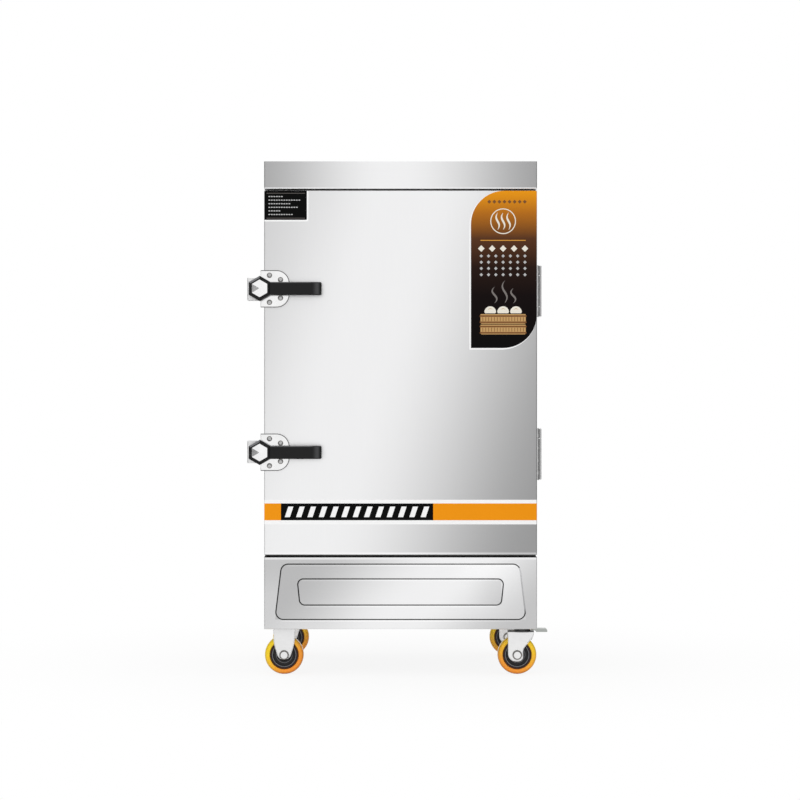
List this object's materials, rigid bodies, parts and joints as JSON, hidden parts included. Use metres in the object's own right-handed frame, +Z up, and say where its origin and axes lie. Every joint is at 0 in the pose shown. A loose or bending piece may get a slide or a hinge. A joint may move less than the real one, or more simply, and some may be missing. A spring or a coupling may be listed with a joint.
{
  "type": "rice steamer cabinet",
  "caption": "Insulated stainless steaming cabinet on casters with a hinged door, cam latches, sliding trays, a heated water tank and rear water fittings.",
  "frame": {"origin": "on the floor under the middle of the cabinet body's plan", "axes": "+Z up, the door faces -Y, +X towards the hinge side"},
  "size_m": [0.773, 0.6978, 1.32],
  "materials": {
    "stainless_skin": "satin",
    "stainless_liner": "satin",
    "stainless_fittings": "satin",
    "chrome": "polished",
    "black_plastic": "satin",
    "lever_paint": "satin",
    "brass": "satin",
    "float_plastic": "matte",
    "foam": "matte",
    "silicone": "matte",
    "zinc_plated": "satin",
    "polyurethane": "satin",
    "hub_plastic": "satin"
  },
  "bodies": {
    "cabinet": {"back_panel": "stainless_skin", "balance_pipe": "stainless_fittings", "base_chassis": "stainless_skin", "base_front_panel": "stainless_skin", "cabinet_insulation": "foam", "cable_gland": "black_plastic", "drain_valve_body": "brass", "float_chamber": "stainless_liner", "float_valve": "brass", "front_frame": "stainless_skin", "heating_elements": "stainless_fittings", "hinge_leaves_cabinet": "stainless_fittings", "hinge_pins": "stainless_fittings", "inner_liner": "stainless_liner", "latch_keepers": "stainless_fittings", "rear_service_cover": "stainless_skin", "rigid_forks": "zinc_plated", "side_panel_left": "stainless_skin", "side_panel_right": "stainless_skin", "steam_plate": "stainless_liner", "steam_vent": "stainless_fittings", "swivel_plates": "zinc_plated", "top_cover": "stainless_skin", "tray_rack_left": "stainless_liner", "tray_rack_right": "stainless_liner", "water_tank": "stainless_liner"},
    "door": {"door_outer_skin": "stainless_skin", "door_inner_skin": "stainless_skin", "door_insulation": "foam", "door_gasket": "silicone", "hinge_leaves_door": "stainless_fittings", "latch_plates": "chrome"},
    "latch_upper": {"handle_lever_upper": "black_plastic", "handle_cap_upper": "chrome", "latch_shaft_upper": "chrome"},
    "latch_lower": {"handle_lever_lower": "black_plastic", "handle_cap_lower": "chrome", "latch_shaft_lower": "chrome"},
    "tray_1": {"tray_1": "stainless_liner"},
    "tray_2": {"tray_2": "stainless_liner"},
    "tray_3": {"tray_3": "stainless_liner"},
    "tray_4": {"tray_4": "stainless_liner"},
    "tray_5": {"tray_5": "stainless_liner"},
    "tray_6": {"tray_6": "stainless_liner"},
    "tray_7": {"tray_7": "stainless_liner"},
    "tray_8": {"tray_8": "stainless_liner"},
    "float": {"float_arm": "float_plastic"},
    "drain_lever": {"drain_valve_lever": "lever_paint"},
    "caster_front_right": {"swivel_fork_front": "zinc_plated"},
    "caster_rear_right": {"swivel_fork_rear": "zinc_plated"},
    "brake": {"brake_pedal": "zinc_plated"},
    "wheel_left_front": {"caster_tread_left_front": "polyurethane", "caster_hub_left_front": "hub_plastic"},
    "wheel_left_rear": {"caster_tread_left_rear": "polyurethane", "caster_hub_left_rear": "hub_plastic"},
    "wheel_right_front": {"caster_tread_right_front": "polyurethane", "caster_hub_right_front": "hub_plastic"},
    "wheel_right_rear": {"caster_tread_right_rear": "polyurethane", "caster_hub_right_rear": "hub_plastic"}
  },
  "joints": [
    {"name": "door_hinge", "type": "hinge", "parent": "cabinet", "child": "door", "pos_m": [0.358, -0.252, 0.77835], "axis": [0, 0, 1], "range_deg": [0, 180]},
    {"name": "latch_turn_upper", "type": "hinge", "parent": "door", "child": "latch_upper", "pos_m": [-0.3597, -0.3, 0.9925], "axis": [0, 1, 0], "range_deg": [0, 90]},
    {"name": "latch_turn_lower", "type": "hinge", "parent": "door", "child": "latch_lower", "pos_m": [-0.3597, -0.3, 0.574], "axis": [0, 1, 0], "range_deg": [0, 90]},
    {"name": "tray_slide_1", "type": "slide", "parent": "cabinet", "child": "tray_1", "axis": [0, -1, 0], "range_m": [0, 0.08]},
    {"name": "tray_slide_2", "type": "slide", "parent": "cabinet", "child": "tray_2", "axis": [0, -1, 0], "range_m": [0, 0.08]},
    {"name": "tray_slide_3", "type": "slide", "parent": "cabinet", "child": "tray_3", "axis": [0, -1, 0], "range_m": [0, 0.08]},
    {"name": "tray_slide_4", "type": "slide", "parent": "cabinet", "child": "tray_4", "axis": [0, -1, 0], "range_m": [0, 0.08]},
    {"name": "tray_slide_5", "type": "slide", "parent": "cabinet", "child": "tray_5", "axis": [0, -1, 0], "range_m": [0, 0.08]},
    {"name": "tray_slide_6", "type": "slide", "parent": "cabinet", "child": "tray_6", "axis": [0, -1, 0], "range_m": [0, 0.08]},
    {"name": "tray_slide_7", "type": "slide", "parent": "cabinet", "child": "tray_7", "axis": [0, -1, 0], "range_m": [0, 0.08]},
    {"name": "tray_slide_8", "type": "slide", "parent": "cabinet", "child": "tray_8", "axis": [0, -1, 0], "range_m": [0, 0.08]},
    {"name": "float_swing", "type": "hinge", "parent": "cabinet", "child": "float", "pos_m": [0.185, 0.31, 0.271], "axis": [1, 0, 0], "range_deg": [0, 28]},
    {"name": "drain_lever_turn", "type": "hinge", "parent": "cabinet", "child": "drain_lever", "pos_m": [0.05, 0.323, 0.165], "axis": [0, 0, -1], "range_deg": [0, 90]},
    {"name": "caster_swivel_front", "type": "hinge", "parent": "cabinet", "child": "caster_front_right", "pos_m": [0.3153, -0.24, 0.112], "axis": [0, 0, 1], "continuous": true},
    {"name": "caster_swivel_rear", "type": "hinge", "parent": "cabinet", "child": "caster_rear_right", "pos_m": [0.3153, 0.24, 0.112], "axis": [0, 0, 1], "continuous": true},
    {"name": "wheel_spin_left_front", "type": "hinge", "parent": "cabinet", "child": "wheel_left_front", "pos_m": [-0.3, -0.24, 0.05], "axis": [0, 1, 0], "continuous": true},
    {"name": "wheel_spin_left_rear", "type": "hinge", "parent": "cabinet", "child": "wheel_left_rear", "pos_m": [-0.3, 0.24, 0.05], "axis": [0, 1, 0], "continuous": true},
    {"name": "wheel_spin_right_front", "type": "hinge", "parent": "caster_front_right", "child": "wheel_right_front", "pos_m": [0.3013, -0.24, 0.05], "axis": [0, 1, 0], "continuous": true},
    {"name": "wheel_spin_right_rear", "type": "hinge", "parent": "caster_rear_right", "child": "wheel_right_rear", "pos_m": [0.3013, 0.24, 0.05], "axis": [0, 1, 0], "continuous": true},
    {"name": "brake_press", "type": "hinge", "parent": "caster_front_right", "child": "brake", "pos_m": [0.3343, -0.24, 0.099], "axis": [0, 1, 0], "range_deg": [0, 14]}
  ]
}
